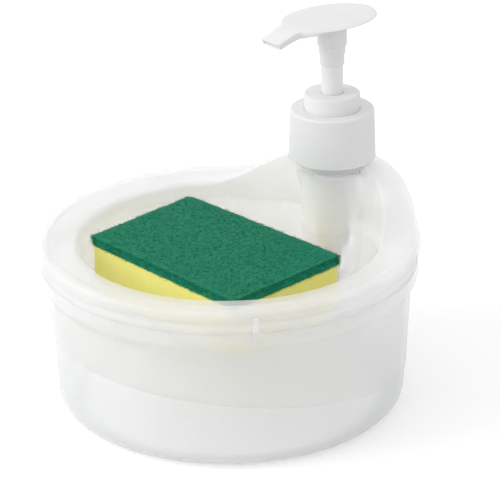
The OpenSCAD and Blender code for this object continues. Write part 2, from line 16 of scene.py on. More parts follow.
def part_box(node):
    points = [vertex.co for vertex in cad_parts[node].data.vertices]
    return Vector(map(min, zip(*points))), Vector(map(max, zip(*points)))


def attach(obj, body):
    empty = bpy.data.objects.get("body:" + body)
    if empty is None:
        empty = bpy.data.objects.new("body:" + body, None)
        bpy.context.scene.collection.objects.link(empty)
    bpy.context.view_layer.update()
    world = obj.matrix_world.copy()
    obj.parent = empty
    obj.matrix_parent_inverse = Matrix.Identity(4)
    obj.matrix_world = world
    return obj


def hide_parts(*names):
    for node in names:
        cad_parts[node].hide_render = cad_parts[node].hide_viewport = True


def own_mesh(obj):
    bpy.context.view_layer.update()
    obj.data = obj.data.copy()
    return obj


MM = 0.001
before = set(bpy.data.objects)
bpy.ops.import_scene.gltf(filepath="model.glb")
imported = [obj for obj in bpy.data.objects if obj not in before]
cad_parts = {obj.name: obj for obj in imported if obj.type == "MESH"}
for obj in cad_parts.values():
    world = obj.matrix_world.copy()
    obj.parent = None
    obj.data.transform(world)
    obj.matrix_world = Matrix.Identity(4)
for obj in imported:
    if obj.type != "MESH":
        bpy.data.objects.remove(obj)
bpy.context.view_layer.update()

# Tub, as in the CAD model
TUB_R, TUB_H, WALL = 72.4, 57.0, 1.8
BAND_Z = TUB_H - 4.0
FLARE_Z, FLARE_W = BAND_Z - 6.5, 2.7
SIDE_R, DRAFT, STEP = TUB_R - FLARE_W, math.tan(math.radians(2.6)), 0.6
FLOOR_Z, FLOOR_T, FLOOR_FALL = 21.0, 2.0, 0.1405
FOOT_RING, FOOT_ROUND = 60.78, 6.5
FOOT_INNER = FOOT_RING - 2.4

# Tray, as in the CAD model
SKIRT_Z, LINE_Z, LIP_Z = TUB_H + 0.2, TUB_H + 4.8, TUB_H + 9.6
BEAD_R, LIP_ROUND, EDGE_ROUND = TUB_R + 0.9, 2.0, 2.0
LIP_OUT = BEAD_R - LIP_ROUND
LIP_IN = LIP_OUT - 1.8
EDGE_R, EDGE_Z = LIP_IN - 9.5, LIP_Z - 1.7
DISH_R, DISH_Z, DISH_CORNER, DISH_DRAFT = EDGE_R - EDGE_ROUND, LIP_Z - 27.1, 5.0, math.tan(math.radians(5))
SHOULDER_RISE, SHOULDER_REACH = 16.9, 39.0
DECK_Z = EDGE_Z + SHOULDER_RISE

# Pump, well and neck, as in the CAD model
PUMP_Y, WELL_R, FILLET_R, CAP_R = 52.2, 12.0, 5.0, 17.0
FILLET_AT = (16.93, 50.29)
NECK_BORE, NECK_TOP = 10.9, DECK_Z + 18.0
NECK_R = NECK_BORE + WALL
THREAD_Z, THREAD_PITCH, THREAD_TURNS, THREAD_ROOT, THREAD_CREST = 93.0, 3.2, 1.5, 0.77, 0.35

# Ribs that line up tub and tray
RIB_ANGLES = (math.radians(-31.3), math.radians(210))
RIB_W, RIB_BEVEL, RIB_SUNK, RIB_PROUD = 2.3, 0.35, 0.9, 0.4

# Camera: its place in metres, direction, roll in radians, and sensor and lens
CAMERA_AT = (0.74451, -0.59009, 0.468)
CAMERA_WAY = (-0.71519, 0.57665, -0.39494)
CAMERA_ROLL, SENSOR, LENS = -0.0144236, 36.0, 193.85


def photo_camera():
    """The camera at the photograph's place, fitted to the object's own points."""
    data = bpy.data.cameras.new("photo_camera")
    data.sensor_width, data.lens = SENSOR, LENS
    data.clip_start, data.clip_end = 0.05, 20.0
    camera = bpy.data.objects.new("photo_camera", data)
    bpy.context.scene.collection.objects.link(camera)
    forward = Vector(CAMERA_WAY).normalized()
    level = forward.cross(Vector((0, 0, 1))).normalized()
    upright = level.cross(forward)
    right = level * math.cos(CAMERA_ROLL) + upright * math.sin(CAMERA_ROLL)
    up = upright * math.cos(CAMERA_ROLL) - level * math.sin(CAMERA_ROLL)
    turn = Matrix((right, up, -forward)).transposed().to_4x4()
    camera.matrix_world = Matrix.Translation(CAMERA_AT) @ turn
    bpy.context.scene.camera = camera
    return right, forward


RIGHT, FORWARD = photo_camera()


# Finishes
class Shade:
    """A shader value that Python's operators build on."""

    def __init__(self, finish, socket):
        self.finish, self.socket = finish, socket

    def maths(self, operation, *terms):
        return self.finish.node("ShaderNodeMath", {"operation": operation}, dict(enumerate(terms)))

    def __add__(self, other):
        return self.maths("ADD", self, other)

    __radd__ = __add__

    def __sub__(self, other):
        return self.maths("SUBTRACT", self, other)

    def __rsub__(self, other):
        return self.maths("SUBTRACT", other, self)

    def __mul__(self, other):
        return self.maths("MULTIPLY", self, other)

    __rmul__ = __mul__

    def most(self, other):
        """The larger of the two values."""
        return self.maths("MAXIMUM", self, other)

    def over(self, low, high):
        """0 below low, 1 above high, and a smooth step between them."""
        return self.finish.node(
            "ShaderNodeMapRange",
            {"interpolation_type": "SMOOTHSTEP"},
            {"Value": self, "From Min": low, "From Max": high},
        )


class Finish:
    """The nodes of a material, or of the world, in the making."""

    def __init__(self, owner):
        self.owner = owner
        owner.use_nodes = True
        self.tree = owner.node_tree
        self.tree.nodes.clear()

    def node(self, kind, settings=None, sockets=None, out=0):
        """A node with its settings and its sockets' values or links; its output named by out is returned."""
        made = self.tree.nodes.new(kind)
        for name, value in (settings or {}).items():
            setattr(made, name, value)
        for key, value in (sockets or {}).items():
            if isinstance(value, Shade):
                self.tree.links.new(value.socket, made.inputs[key])
            else:
                made.inputs[key].default_value = value
        return Shade(self, made.outputs[out]) if made.outputs else None

    def place(self):
        return self.node("ShaderNodeTexCoord", out="Object")

    def height(self, place=None):
        return self.node("ShaderNodeSeparateXYZ", {}, {"Vector": place or self.place()}, "Z")

    def noise(self, scale, detail=3.0, roughness=0.5, place=None):
        return self.node(
            "ShaderNodeTexNoise",
            {},
            {"Vector": place or self.place(), "Scale": scale, "Detail": detail, "Roughness": roughness},
            "Fac",
        )

    def cells(self, scale):
        return self.node(
            "ShaderNodeTexVoronoi", {"feature": "F1"}, {"Vector": self.place(), "Scale": scale}, "Distance"
        )

    def blend(self, share, first, second):
        """A mix of two colours, which are the Mix node's sockets 6 and 7."""
        return self.node("ShaderNodeMix", {"data_type": "RGBA"}, {"Factor": share, 6: first, 7: second}, 2)

    def bump(self, height, strength, distance):
        return self.node(
            "ShaderNodeBump", {}, {"Height": height, "Strength": strength, "Distance": distance}
        )

    def principled(self, sockets):
        return self.node("ShaderNodeBsdfPrincipled", {}, sockets)

    def show(self, shader, output="ShaderNodeOutputMaterial"):
        """Ends the nodes in an output, and returns the material or world that they belong to."""
        self.node(output, {}, {"Surface": shader})
        return self.owner


def rgb(red, green, blue):
    """A colour as seen on a screen, 0 to 255, turned into the linear values that shaders use."""
    return tuple(
        c / 12.92 if c <= 0.04045 else ((c + 0.055) / 1.055) ** 2.4
        for c in (red / 255, green / 255, blue / 255)
    ) + (1.0,)


def milky_plastic(name, tint, shaded, alpha, rim_alpha, roughness):
    """Natural polypropylene: milky, more so in its thick rim, and showing faintly what is behind it."""
    finish = Finish(bpy.data.materials.new(name))
    height = finish.height()
    cloud = finish.noise(38.0, 4.0, 0.55)
    flow = finish.noise(9.0, 2.0, 0.5)
    pebble = finish.noise(900.0, 2.0, 0.5)
    return finish.show(
        finish.principled(
            {
                "Base Color": finish.blend((cloud * 0.6 + flow * 0.4).over(0.35, 0.68), shaded, tint),
                "Roughness": cloud * 0.14 + roughness,
                "Alpha": height.over(0.0555, 0.0605) * (rim_alpha - alpha) + alpha,
                "IOR": 1.49,
                "Subsurface Weight": 0.7,
                "Subsurface Radius": (1.0, 1.0, 1.0),
                "Subsurface Scale": 0.006,
                "Normal": finish.bump(pebble, 0.01, 0.0001),
            }
        )
    )


def moulded_plastic(name, tint, shaded, roughness, scale=60.0):
    """Opaque moulded plastic with a slight swirl and a fine pebble in its gloss."""
    finish = Finish(bpy.data.materials.new(name))
    cloud = finish.noise(scale, 4.0, 0.55)
    pebble = finish.noise(1500.0, 2.0, 0.5)
    return finish.show(
        finish.principled(
            {
                "Base Color": finish.blend(cloud.over(0.3, 0.7), shaded, tint),
                "Roughness": cloud * 0.1 + roughness,
                "IOR": 1.49,
                "Normal": finish.bump(pebble * 0.5 + cloud * 0.2, 0.04, 0.0002),
            }
        )
    )


def foam(name):
    """Fine open-cell foam."""
    finish = Finish(bpy.data.materials.new(name))
    cells = finish.cells(1700.0).over(0.1, 0.5)
    crumbs = finish.noise(2600.0, 3.0, 0.6).over(0.35, 0.65)
    # The foam's pits; the colour below is darker in them, which is painted shade in the pores
    pore_pits_and_shade = cells * 0.5 + crumbs * 0.5
    patch = finish.noise(55.0, 3.0, 0.5)
    lit = finish.blend(patch.over(0.35, 0.65), rgb(236, 230, 134), rgb(240, 235, 143))
    return finish.show(
        finish.principled(
            {
                "Base Color": finish.blend(pore_pits_and_shade, lit, rgb(230, 222, 122)),
                "Roughness": pore_pits_and_shade * 0.1 + 0.85,
                "Specular IOR Level": 0.2,
                "Normal": finish.bump(pore_pits_and_shade * -1.0, 0.16, 0.0002),
            }
        )
    )


def scouring_web(name, dark, middle, light):
    """Matted nylon fibres bonded with grit, lighter on the pad's cut side."""
    finish = Finish(bpy.data.materials.new(name))
    place = finish.place()
    stretched = finish.node(
        "ShaderNodeMapping", {}, {"Vector": place, "Rotation": (0.0, 0.0, 0.5), "Scale": (1.0, 2.6, 1.0)}
    )
    strands = finish.noise(2100.0, 5.0, 0.65, stretched)
    tufts = finish.noise(1100.0, 4.0, 0.6, place)
    base = finish.blend(tufts.over(0.32, 0.68), dark, middle)
    side = 1 - finish.height(place).over(0.0612, 0.0636)
    return finish.show(
        finish.principled(
            {
                "Base Color": finish.blend(strands.over(0.46, 0.78) * 0.7 + side * 0.5, base, light),
                "Roughness": strands * 0.25 + 0.5,
                "Specular IOR Level": 0.15,
                "Normal": finish.bump(strands * 0.7 + tufts * 0.6, 0.45, 0.0004),
            }
        )
    )


def spring_wire(name):
    """Drawn stainless wire."""
    finish = Finish(bpy.data.materials.new(name))
    drawn = finish.noise(2500.0, 3.0, 0.6)
    return finish.show(
        finish.principled(
            {
                "Base Color": finish.blend(drawn, rgb(196, 196, 194), rgb(224, 224, 222)),
                "Metallic": 1.0,
                "Roughness": drawn * 0.15 + 0.22,
            }
        )
    )


MILKY_TUB = milky_plastic("milky_tub", rgb(246, 247, 250), rgb(244, 245, 248), 0.4, 0.42, 0.26)
MILKY_TRAY = milky_plastic("milky_tray", rgb(252, 252, 255), rgb(250, 250, 253), 0.2, 0.37, 0.28)
WHITE = moulded_plastic("white_plastic", rgb(230, 229, 230), rgb(227, 226, 227), 0.38)
INNER_WHITE = moulded_plastic("inner_white", rgb(233, 232, 231), rgb(228, 227, 226), 0.34, 90.0)
HOUSING = moulded_plastic("pump_natural", rgb(238, 238, 236), rgb(232, 232, 230), 0.36, 80.0)
RUBBER = moulded_plastic("seal_rubber", rgb(206, 205, 201), rgb(196, 195, 191), 0.55, 120.0)
STEEL = spring_wire("spring_steel")
YELLOW = foam("foam_yellow")
GREEN = scouring_web("scour_green", rgb(10, 102, 75), rgb(18, 129, 97), rgb(42, 156, 122))
FIBRE = scouring_web("scour_fibre", rgb(14, 112, 83), rgb(24, 138, 105), rgb(46, 158, 125))


# Mesh helpers
def shown(name, mesh, material, sharp):
    """The mesh as an object of the scene, smooth but for edges over the given angle."""
    mesh.materials.append(material)
    obj = bpy.data.objects.new(name, mesh)
    bpy.context.scene.collection.objects.link(obj)
    for polygon in mesh.polygons:
        polygon.use_smooth = True
    mesh.set_sharp_from_angle(angle=math.radians(sharp))
    return obj


def piece(name, points, faces, material, sharp=38.0):
    """An object from points in millimetres and faces between them."""
    mesh = bpy.data.meshes.new(name)
    mesh.from_pydata([tuple(c * MM for c in p) for p in points], [], faces)
    mesh.validate()
    return shown(name, mesh, material, sharp)


def tidy_mesh(obj, gap=0.004, sharp=38.0):
    """Welds points that coincide, drops what that leaves empty, and turns all faces outward."""
    work = bmesh.new()
    work.from_mesh(obj.data)
    bmesh.ops.remove_doubles(work, verts=work.verts, dist=gap * MM)
    bmesh.ops.dissolve_degenerate(work, edges=work.edges, dist=gap * MM / 4)
    bmesh.ops.recalc_face_normals(work, faces=work.faces)
    work.to_mesh(obj.data)
    work.free()
    obj.data.set_sharp_from_angle(angle=math.radians(sharp))
    return obj


def apply_modifiers(obj):
    """Puts what the modifiers make into the mesh."""
    graph = bpy.context.evaluated_depsgraph_get()
    made = bpy.data.meshes.new_from_object(obj.evaluated_get(graph))
    obj.modifiers.clear()
    obj.data = made


def arc(cx, cz, r, start, end, count):
    """Points on an arc, its angles in degrees."""
    angles = np.radians(np.linspace(start, end, count + 1))
    return [(cx + r * math.cos(a), cz + r * math.sin(a)) for a in angles]


def rounded(corners, radii, count=4):
    """A closed outline whose corners are rounded off, each to its radius."""
    made = []
    total = len(corners)
    for i, (corner, radius) in enumerate(zip(corners, radii)):
        if radius <= 0:
            made.append(tuple(corner))
            continue
        here = np.array(corner, float)
        back = np.array(corners[i - 1], float) - here
        ahead = np.array(corners[(i + 1) % total], float) - here
        reach = min(radius, np.linalg.norm(back) * 0.45, np.linalg.norm(ahead) * 0.45)
        start = here + back / np.linalg.norm(back) * reach
        end = here + ahead / np.linalg.norm(ahead) * reach
        for t in np.linspace(0, 1, count + 1):
            made.append(tuple((1 - t) ** 2 * start + 2 * t * (1 - t) * here + t * t * end))
    return made


def resampled(line, count):
    """The same polyline with evenly spaced points."""
    line = np.array(line)
    steps = np.linalg.norm(np.diff(line, axis=0), axis=1)
    along = np.concatenate([[0], np.cumsum(steps)])
    at = np.linspace(0, along[-1], count)
    return list(zip(np.interp(at, along, line[:, 0]), np.interp(at, along, line[:, 1])))


def lathe(name, section, material, steps=160, centre=PUMP_Y):
    """A closed section of radius and height, turned round the pump's axis."""
    count = len(section)
    points, faces = [], []
    for i in range(steps):
        a = 2 * math.pi * i / steps
        points += [(r * math.sin(a), centre - r * math.cos(a), z) for r, z in section]
    for i in range(steps):
        j = (i + 1) % steps
        for k in range(count):
            m = (k + 1) % count
            faces.append((i * count + k, j * count + k, j * count + m, i * count + m))
    return tidy_mesh(piece(name, points, faces, material))


def grid_faces(rows, columns, skip=()):
    """The faces between rows of points, each row a closed ring."""
    made = []
    for r in range(rows - 1):
        for c in range(columns):
            n = (c + 1) % columns
            if (r, c) not in skip:
                made.append((r * columns + c, r * columns + n, (r + 1) * columns + n, (r + 1) * columns + c))
    return made


def smooth_max(a, b, width):
    """The larger of two values, with the change from one to the other rounded over a width."""
    near = max(width - abs(a - b), 0.0) / width
    return max(a, b) + near * near * width / 4


def smooth_step(low, high, value):
    """0 at low, 1 at high, and an S between them."""
    t = min(max((value - low) / (high - low), 0.0), 1.0)
    return t * t * (3 - 2 * t)


def rim_rib(name, angle, r_out, z_low, z_high, material):
    """A rib on the outside of the rim, with its edges taken off."""
    work = bmesh.new()
    bmesh.ops.create_cube(work, size=1.0)
    for v in work.verts:
        x = TUB_R - RIB_SUNK if v.co.x < 0 else r_out
        y = v.co.y * RIB_W
        z = z_low if v.co.z < 0 else z_high
        v.co = (x * math.cos(angle) - y * math.sin(angle), x * math.sin(angle) + y * math.cos(angle), z)
    work.normal_update()
    bmesh.ops.bevel(work, geom=work.edges[:], offset=RIB_BEVEL, segments=3, profile=0.5, affect="EDGES")
    for v in work.verts:
        v.co *= MM
    mesh = bpy.data.meshes.new(name)
    work.to_mesh(mesh)
    work.free()
    return shown(name, mesh, material, 50.0)


def thread_rib(name, r_in, r_out, z, material):
    """A screw thread's ridge that fades in and out at its ends."""
    steps, points, faces = 150, [], []
    for i in range(steps + 1):
        t = i / steps
        a = 2 * math.pi * THREAD_TURNS * t
        ease = smooth_step(0, 0.04, t) * smooth_step(0, 0.04, 1 - t)
        tip = r_in + (r_out - r_in) * (0.15 + 0.85 * ease)
        up = z + THREAD_PITCH * THREAD_TURNS * t
        ridge = ((r_in, -THREAD_ROOT), (tip, -THREAD_CREST), (tip, THREAD_CREST), (r_in, THREAD_ROOT))
        for r, dz in ridge:
            points.append((r * math.cos(a), PUMP_Y + r * math.sin(a), up + dz))
    for i in range(steps):
        for k in range(4):
            m = (k + 1) % 4
            faces.append((i * 4 + k, i * 4 + m, i * 4 + 4 + m, i * 4 + 4 + k))
    faces += [(3, 2, 1, 0), (steps * 4, steps * 4 + 1, steps * 4 + 2, steps * 4 + 3)]
    return tidy_mesh(piece(name, points, faces, material, 30.0), sharp=30.0)


# Tub, with its rim's rounding as distances in from the wall and down from the top
FLOOR_CORNER = 1.6
RIM_CURVE = ((0.0, 0.5), (0.15, 0.13), (0.5, 0.0))
STEP_ABOVE, STEP_BELOW = 0.3, 0.35
ROOF_CORNER = 1.2
TUB_COLUMNS = 224


def side_at(z):
    """Outer radius of the tub's drafted side at a height."""
    return SIDE_R - DRAFT * (FLARE_Z - z)


def floor_at(r, angle):
    """Height of the soap floor, which falls toward the pump."""
    return FLOOR_Z - FLOOR_FALL * r * math.sin(angle)


def flare_line(outer, steps=8):
    """The flare from its foot up to the band, for a wall whose band has the given radius."""
    made = []
    for i in range(steps + 1):
        t = i / steps
        z = FLARE_Z + (BAND_Z - FLARE_Z) * t
        made.append((outer - FLARE_W * (1 + math.cos(math.pi * t)) / 2, z))
    return made


def tub_section(angle):
    """The tub's closed section at one angle, from the floor's centre out, over the rim and back."""
    made = [(0.0, FLOOR_Z)]
    for r in (16.0, 32.0, 48.0, 60.0):
        made.append((r, floor_at(r, angle)))
    inner = side_at(floor_at(68.0, angle)) - WALL
    corner = floor_at(inner, angle)
    made += [(inner - FLOOR_CORNER, corner), (inner - 0.5, corner + 0.45), (inner, corner + FLOOR_CORNER)]
    for t in (0.3, 0.65, 1.0):
        z = corner + FLOOR_CORNER + (FLARE_Z - corner - FLOOR_CORNER) * t
        made.append((side_at(z) - WALL, z))
    made += flare_line(TUB_R - WALL)[1:]
    made += [(TUB_R - WALL + inward, TUB_H - down) for inward, down in RIM_CURVE]
    made += [(TUB_R - inward, TUB_H - down) for inward, down in reversed(RIM_CURVE)]
    made += reversed(flare_line(TUB_R))
    step = floor_at(69.0, angle)
    for t in (0.34, 0.67):
        z = FLARE_Z + (step + STEP_ABOVE - FLARE_Z) * t
        made.append((side_at(z), z))
    edge = side_at(step)
    made += [(edge, step + STEP_ABOVE), (edge - 0.12, step), (edge - STEP, step - STEP_BELOW)]
    for t in (0.5, 1.0):
        z = step - STEP_BELOW + (FOOT_ROUND - step + STEP_BELOW) * t
        made.append((side_at(z) - STEP, z))
    made += arc(FOOT_RING, FOOT_ROUND, FOOT_ROUND, 0, -90, 8)[1:]
    made += [(FOOT_INNER + 0.4, 0.0), (FOOT_INNER, 0.4), (FOOT_INNER, WALL)]
    made += arc(FOOT_RING, FOOT_ROUND, FOOT_ROUND - WALL, -90, 0, 6)
    roof = floor_at(64.0, angle) - FLOOR_T
    roof_r = side_at(roof) - STEP - WALL - ROOF_CORNER
    made.append((side_at(roof - ROOF_CORNER) - STEP - WALL, roof - ROOF_CORNER))
    made.append((roof_r, floor_at(roof_r, angle) - FLOOR_T))
    for r in (48.0, 32.0, 16.0):
        made.append((r, floor_at(r, angle) - FLOOR_T))
    made.append((0.0, FLOOR_Z - FLOOR_T))
    return made


def make_tub():
    """The tub's shell and its two ribs."""
    sections = [tub_section(2 * math.pi * c / TUB_COLUMNS) for c in range(TUB_COLUMNS)]
    points = []
    for k in range(len(sections[0])):
        for c, section in enumerate(sections):
            a = 2 * math.pi * c / TUB_COLUMNS
            r, z = section[k]
            points.append((r * math.cos(a), r * math.sin(a), z))
    shell = tidy_mesh(piece("tub_shell", points, grid_faces(len(sections[0]), TUB_COLUMNS), MILKY_TUB))
    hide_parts("reservoir_tub")
    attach(shell, "tub")
    for n, angle in enumerate(RIB_ANGLES):
        rib = rim_rib(f"tub_rib_{n + 1}", angle, TUB_R + RIB_PROUD, 52.25, TUB_H - 0.1, MILKY_TUB)
        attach(rib, "tub")


# Tray
RIM_R = [0.0, EDGE_R, 69.1, LIP_IN, LIP_OUT, 80.0]
RIM_Z = [EDGE_Z, EDGE_Z, LIP_Z - 0.4, LIP_Z, LIP_Z, LIP_Z]
SKIRT_LINE = [
    (TUB_R, SKIRT_Z),
    (TUB_R, 59.5),
    (TUB_R, LINE_Z - 0.15),
    (TUB_R + 0.15, LINE_Z + 0.02),
    (TUB_R + 0.45, LINE_Z + 0.12),
    (BEAD_R - 0.12, LINE_Z + 0.34),
    (BEAD_R, LINE_Z + 0.6),
]
DECK_SHARES = (0.04, 0.09, 0.155, 0.19, 0.22, 0.32, 0.44, 0.56, 0.68, 0.8, 0.9, 1.0)
DISH_FLOOR_Y, DISH_FLOOR_SHARES = -8.0, (0.93, 0.78, 0.55, 0.3, 0.1)

# Degrees round the well, round the fillet beside it, and round the tub's axis where each ends
WELL_TURN, FILLET_START, FILLET_END = 83.4, 173.4, 71.4
WELL_POLAR, FILLET_POLAR = 13.0, 18.55

# The crease down the well's side, above which its wall stands out
CREASE_ANGLE = [0.0, 8.6, 23.0, 45.0, 63.0, 81.0, 90.0]
CREASE_Z = [82.5, 82.0, 75.0, 70.0, 65.0, 60.0, 58.0]
CREASE_FLARE, CREASE_ROUND, CREASE_MOST, CREASE_LESS = 0.33, 0.6, 5.0, 2.6

# Edges of the tray: at the well, at the fillet's end, and in the dish; and the shoulder's outer wall
WELL_EDGE, FILLET_EDGE, DISH_EDGE, WALL_ROUND = 0.8, 1.3, 2.0, 1.4


def bell_at(x, y):
    """Height of the shoulder, which falls away from the pump's neck."""
    t = min(max((math.hypot(x, y - PUMP_Y) - CAP_R) / SHOULDER_REACH, 0.0), 1.0)
    return EDGE_Z + SHOULDER_RISE * math.cos(math.pi / 2 * t) ** 2


def top_at(x, y):
    """Height of the tray's upper side: the rim, or the shoulder where it is higher."""
    rim = float(np.interp(math.hypot(x, y), RIM_R, RIM_Z))
    return smooth_max(rim, bell_at(x, y), 1.6)


def dish_r_at(z):
    """Radius of the dish's side at a height, with the rounding at its floor."""
    side = DISH_R - DISH_DRAFT * (EDGE_Z - EDGE_ROUND - max(z, DISH_Z + DISH_CORNER))
    low = DISH_Z + DISH_CORNER - z
    return side if low <= 0 else side - DISH_CORNER + math.sqrt(max(DISH_CORNER**2 - low**2, 0.0))


class TrayLine:
    """One line of the tray's mesh, from the skirt up over the rim and down into the dish."""

    def __init__(self, kind, share, side):
        self.kind, self.share, self.side = kind, share, side
        if kind == "well":
            self.turn = math.radians(WELL_TURN) * share
            self.hole = math.pi / 2 * share
            self.polar = math.radians(WELL_POLAR) * share
            self.edge = WELL_EDGE
        elif kind == "fillet":
            self.turn = math.radians(FILLET_START - (FILLET_START - FILLET_END) * share)
            self.polar = math.radians(WELL_POLAR + (FILLET_POLAR - WELL_POLAR) * share)
            self.edge = WELL_EDGE + (FILLET_EDGE - WELL_EDGE) * share
        else:
            self.polar = math.radians(FILLET_POLAR + (180 - FILLET_POLAR) * share)
            self.edge = FILLET_EDGE + (DISH_EDGE - FILLET_EDGE) * min(share * 6, 1)

    def flare(self, z):
        """How far the well's wall stands out above the crease that runs down its side."""
        if self.kind == "dish":
            return 0.0
        angle = abs(math.degrees(self.turn)) if self.kind == "well" else WELL_TURN
        rise = max(z - float(np.interp(angle, CREASE_ANGLE, CREASE_Z)), 0.0)
        out = CREASE_FLARE * (math.hypot(rise, CREASE_ROUND) - CREASE_ROUND)
        most = CREASE_MOST - CREASE_LESS * smooth_step(40, WELL_TURN, angle)
        out = most * math.tanh(out / most)
        return out * (1 - smooth_step(0, 1, self.share)) if self.kind == "fillet" else out

    def outline(self, z, grow=0.0):
        """The dish's outline at a height; grow moves it into the wall."""
        if self.kind == "well":
            r = WELL_R + self.flare(z) - grow
            x, y = r * math.sin(self.turn), PUMP_Y - r * math.cos(self.turn)
        elif self.kind == "fillet":
            r = FILLET_R - self.flare(z) + grow
            x, y = FILLET_AT[0] + r * math.cos(self.turn), FILLET_AT[1] + r * math.sin(self.turn)
        else:
            x, y = (DISH_R + 9) * math.sin(self.polar), (DISH_R + 9) * math.cos(self.polar)
        most = dish_r_at(z) + grow
        r = math.hypot(x, y)
        if r > most:
            x, y = x * most / r, y * most / r
        return x, y

    def ray(self, profile):
        """Points straight out from the tub's axis, from pairs of radius and height."""
        return [(math.sin(self.polar) * r, math.cos(self.polar) * r, z) for r, z in profile]

    def lip(self):
        """The lip's rounding, and above it the shoulder's upright wall where that is higher."""
        x, y, _ = self.ray([(TUB_R - WALL_ROUND, 0.0)])[0]
        wall_top = top_at(x, y)
        rise = wall_top - LIP_Z
        bead = arc(LIP_OUT, LIP_Z - LIP_ROUND, LIP_ROUND, 0, 90, 12)
        if rise > 0.05:
            keep = min(rise / 1.5, 1.0)
            low = [(r, z) for r, z in bead if r >= TUB_R - 1.1 * (1 - keep)]
            last_r = TUB_R * keep + LIP_OUT * (1 - keep)
            last_z = LIP_Z - LIP_ROUND + math.sqrt(max(LIP_ROUND**2 - (last_r - LIP_OUT) ** 2, 0.0))
            turn = WALL_ROUND * keep
            upright = [(last_r, last_z), (last_r, max(wall_top - turn, last_z + 0.02))]
            over = arc(last_r - turn, wall_top - turn, turn, 0, 90, 6) if turn > 0.05 else []
            bead = low + upright + [p for p in over if p[1] > last_z + 0.03]
        return resampled(bead, 22)

    def edge_height(self):
        """Height of the tray's upper side where the dish or the well opens in it."""
        top_z = DECK_Z
        for _ in range(3):
            top_z = top_at(*self.outline(top_z - self.edge))
        return top_z

    def deck(self, start_r, top_z):
        """The upper side from the lip inward, in two runs: up to the neck's bore, and on past it."""
        start = np.array((math.sin(self.polar), math.cos(self.polar))) * start_r
        end = np.array(self.outline(top_z - self.edge, self.edge))
        if self.kind == "well":
            across, along = NECK_BORE * math.sin(self.hole), NECK_BORE * math.cos(self.hole)
            back = np.array((across, PUMP_Y + along))
            front = np.array((across, PUMP_Y - along))
        else:
            near = 0.1 if self.kind == "dish" else 0.075 + 0.025 * self.share
            back = front = end + (start - end) * near
        outside, inside = [], []
        for t in DECK_SHARES:
            x, y = start + (back - start) * t
            outside.append((x, y, top_at(x, y) if t < 1 or self.kind != "well" else DECK_Z))
        for t in (0.0, 0.5, 1.0):
            x, y = front + (end - front) * t
            inside.append((x, y, top_at(x, y)))
        return outside, inside

    def inner_wall(self, top_z):
        """The rounded edge, the wall down from it, and the rounding at the dish's floor."""
        made = []
        foot_z = DISH_Z + DISH_CORNER
        for a in np.radians((22, 45, 68, 90)):
            x, y = self.outline(top_z - self.edge, self.edge * (1 - math.sin(a)))
            made.append((x, y, top_z - self.edge * (1 - math.cos(a))))
        for t in np.linspace(0, 1, 19)[1:]:
            z = top_z - self.edge + (foot_z - top_z + self.edge) * t
            made.append((*self.outline(z), z))
        for a in np.radians((12, 26, 40, 54, 68, 80, 90)):
            z = DISH_Z + DISH_CORNER * (1 - math.sin(a))
            made.append((*self.outline(z), z))
        return made

    def points(self):
        """All points of the line, and the row at which the neck's bore opens it."""
        lip = self.lip()
        top_z = self.edge_height()
        outside, inside = self.deck(lip[-1][0], top_z)
        made = self.ray(SKIRT_LINE + lip) + outside
        opened = len(made) - 1
        made += inside + self.inner_wall(top_z)
        x, y = made[-1][:2]
        for t in DISH_FLOOR_SHARES:
            made.append((x * t, (y - DISH_FLOOR_Y) * t + DISH_FLOOR_Y, DISH_Z))
        return [(x * self.side, y, z) for x, y, z in made], opened


def tray_surface():
    """The tray's upper and outer side as one open surface, its normals up."""
    half = [("well", t) for t in np.linspace(0, 1, 25)]
    half += [("fillet", t) for t in np.linspace(0, 1, 11)[1:]]
    half += [("dish", t) for t in np.linspace(0, 1, 86)[1:]]
    lines = [TrayLine(kind, t, 1) for kind, t in half]
    lines += [TrayLine(kind, t, -1) for kind, t in reversed(half[1:-1])]
    rows, opened = [], 0
    for line in lines:
        made, opened = line.points()
        rows.append(made)
    columns, count = len(lines), len(rows[0])
    points = [rows[c][r] for r in range(count) for c in range(columns)]
    middle = len(points)
    points.append((0.0, DISH_FLOOR_Y, DISH_Z))
    bore = set()
    for c in range(columns):
        if lines[c].kind == "well" and lines[(c + 1) % columns].kind == "well":
            bore.add((opened, c))
    faces = grid_faces(count, columns, skip=bore)
    last = (count - 1) * columns
    faces += [(last + c, last + (c + 1) % columns, middle) for c in range(columns)]
    surface = tidy_mesh(piece("tray_shell", points, faces, MILKY_TRAY, 42.0), sharp=42.0)
    central = min(surface.data.polygons, key=lambda face: face.center.length)
    if central.normal.z < 0:
        surface.data.flip_normals()
    return surface


def make_tray():
    """The tray's shell, the spigot that seats it in the tub, the neck with its thread, and the ribs."""
    shell = tray_surface()
    thick = shell.modifiers.new("wall", "SOLIDIFY")
    thick.thickness, thick.offset = WALL * MM, -1.0
    thick.use_even_offset, thick.use_rim = False, True
    apply_modifiers(shell)
    shell.data.set_sharp_from_angle(angle=math.radians(42))
    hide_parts("sponge_tray")
    spigot = rounded(
        [
            (68.65, 53.1),
            (70.45, 53.1),
            (70.45, 57.25),
            (71.4, 57.25),
            (71.4, 60.5),
            (70.4, 60.5),
            (68.65, 58.6),
        ],
        [0.5, 0.7, 0.1, 0, 0, 0, 0.4],
    )
    parts = [shell, lathe("tray_spigot", spigot, MILKY_TRAY, 224, centre=0.0)]
    neck = rounded(
        [(NECK_BORE, 80.4), (NECK_R, 80.4), (NECK_R, NECK_TOP), (NECK_BORE, NECK_TOP)], [0, 0, 0.4, 0.4]
    )
    parts.append(lathe("tray_neck", neck, MILKY_TRAY, 128))
    parts.append(thread_rib("tray_neck_thread", NECK_R - 0.3, NECK_R + 1.0, THREAD_Z, MILKY_TRAY))
    for n, angle in enumerate(RIB_ANGLES):
        rib = rim_rib(f"tray_rib_{n + 1}", angle, BEAD_R + RIB_PROUD, SKIRT_Z + 0.05, 63.9, MILKY_TRAY)
        parts.append(rib)
    for part in parts:
        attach(part, "tray")


